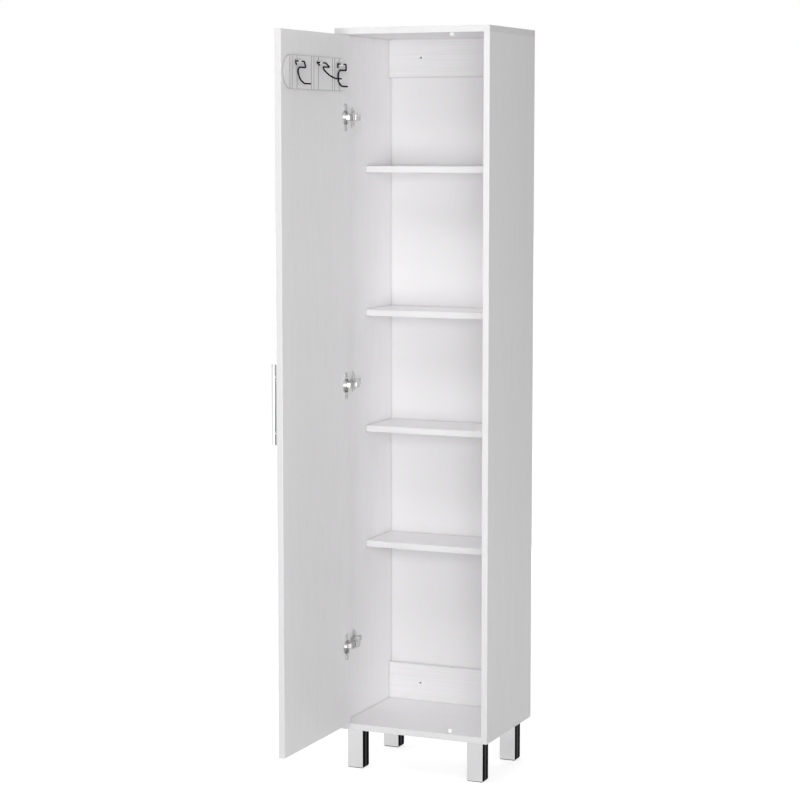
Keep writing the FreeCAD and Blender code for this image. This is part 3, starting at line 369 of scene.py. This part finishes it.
def studio_floor():
    """White paper: it keeps the soft shadow near the feet and runs out into the white behind."""
    mesh = bpy.data.meshes.new("floor")
    shape = bmesh.new()
    bmesh.ops.create_grid(shape, x_segments=1, y_segments=1, size=PAPER_REACH)
    shape.to_mesh(mesh)
    shape.free()
    floor = bpy.data.objects.new("floor", mesh)
    bpy.context.scene.collection.objects.link(floor)
    material, tree, principled = shader("floor paper", {"Base Color": linear("#C8C8C8"),
                                                        "Roughness": 1.0, "Specular IOR Level": 0.0})
    place = add(tree, "ShaderNodeTexCoord").outputs["Object"]
    reach = add(tree, "ShaderNodeVectorMath", {0: place}, operation="LENGTH")
    white = add(tree, "ShaderNodeMapRange", {0: reach.outputs["Value"], 1: GLOW_FROM, 2: GLOW_TO,
                                             3: GLOW_AT_FEET, 4: 1.0})
    glow = add(tree, "ShaderNodeMath", {0: ray_is(tree, "Camera", "Glossy"), 1: white.outputs[0]},
               operation="MULTIPLY")
    principled.inputs["Emission Color"].default_value = (1, 1, 1, 1)
    tree.links.new(glow.outputs[0], principled.inputs["Emission Strength"])
    mesh.materials.append(material)


def studio_world(ambient):
    """Even soft light from all round, and plain white to look at. Chrome also mirrors a dark card on
    the left, which draws its outline against the white."""
    world = bpy.data.worlds.new("studio")
    bpy.context.scene.world = world
    world.use_nodes = True
    tree = world.node_tree
    background = tree.nodes["Background"]
    background.inputs["Color"].default_value = (1, 1, 1, 1)
    direction = add(tree, "ShaderNodeTexCoord").outputs["Generated"]
    sideways = add(tree, "ShaderNodeSeparateXYZ", {0: direction}).outputs["X"]
    card = add(tree, "ShaderNodeMapRange", {0: sideways, 1: CARD_FULL, 2: CARD_EDGE, 3: 1.0, 4: 0.0})
    mirrored = add(tree, "ShaderNodeMath", {0: card.outputs[0], 1: ray_is(tree, "Glossy")},
                   operation="MULTIPLY")
    white = add(tree, "ShaderNodeMath", {0: ray_is(tree, "Camera", "Glossy", "Transmission"),
                                         1: mirrored.outputs[0]}, operation="SUBTRACT")
    strength = add(tree, "ShaderNodeMapRange", {0: white.outputs[0], 3: ambient, 4: 1.0})
    tree.links.new(strength.outputs[0], background.inputs["Strength"])


def softbox(name, place, aim, size, power, mirrored=True):
    """A lamp of size metres and power watts. One that isn't mirrored lights but has no image in chrome."""
    light = bpy.data.lights.new(name, "AREA")
    light.shape = "RECTANGLE"
    light.size, light.size_y = size
    light.energy = power
    lamp = bpy.data.objects.new(name, light)
    bpy.context.scene.collection.objects.link(lamp)
    lamp.location = place
    lamp.visible_glossy = mirrored
    lamp.rotation_euler = (Vector(aim) - Vector(place)).to_track_quat("-Z", "Y").to_euler()


def camera():
    """Looks in from the right and a little downwards, with a long lens."""
    low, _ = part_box("side_panel_left")
    view = bpy.data.cameras.new("camera")
    view.lens = LENS
    view.sensor_width = SENSOR
    view.clip_end = 200.0
    eye = bpy.data.objects.new("camera", view)
    bpy.context.scene.collection.objects.link(eye)
    eye.location = (low[0] + EYE_FROM_PANEL[0], low[1] + EYE_FROM_PANEL[1], EYE_HEIGHT)
    eye.rotation_euler = (math.radians(EYE_TILT), 0, math.radians(EYE_TURN))
    bpy.context.scene.camera = eye


studio_floor()
studio_world(0.21)
softbox("front right", (3.1, -4.5, 1.3), (0, 0, 0.9), (4.4, 2.4), 107)
softbox("low front", (1.0, -3.0, 1.0), (0, 0, 1.0), (2.2, 1.9), 36)
softbox("top", (0.1, -1.6, 3.4), (0, 0, 0.9), (1.6, 1.2), 24)
softbox("left", (-2.6, 0.6, 1.3), (0, 0, 0.9), (2.0, 2.2), 20, mirrored=False)
softbox("rear", (-1.2, 2.8, 1.5), (0, 0, 0.9), (2.4, 2.4), 55, mirrored=False)
camera()
bpy.context.scene.view_settings.view_transform = "Standard"
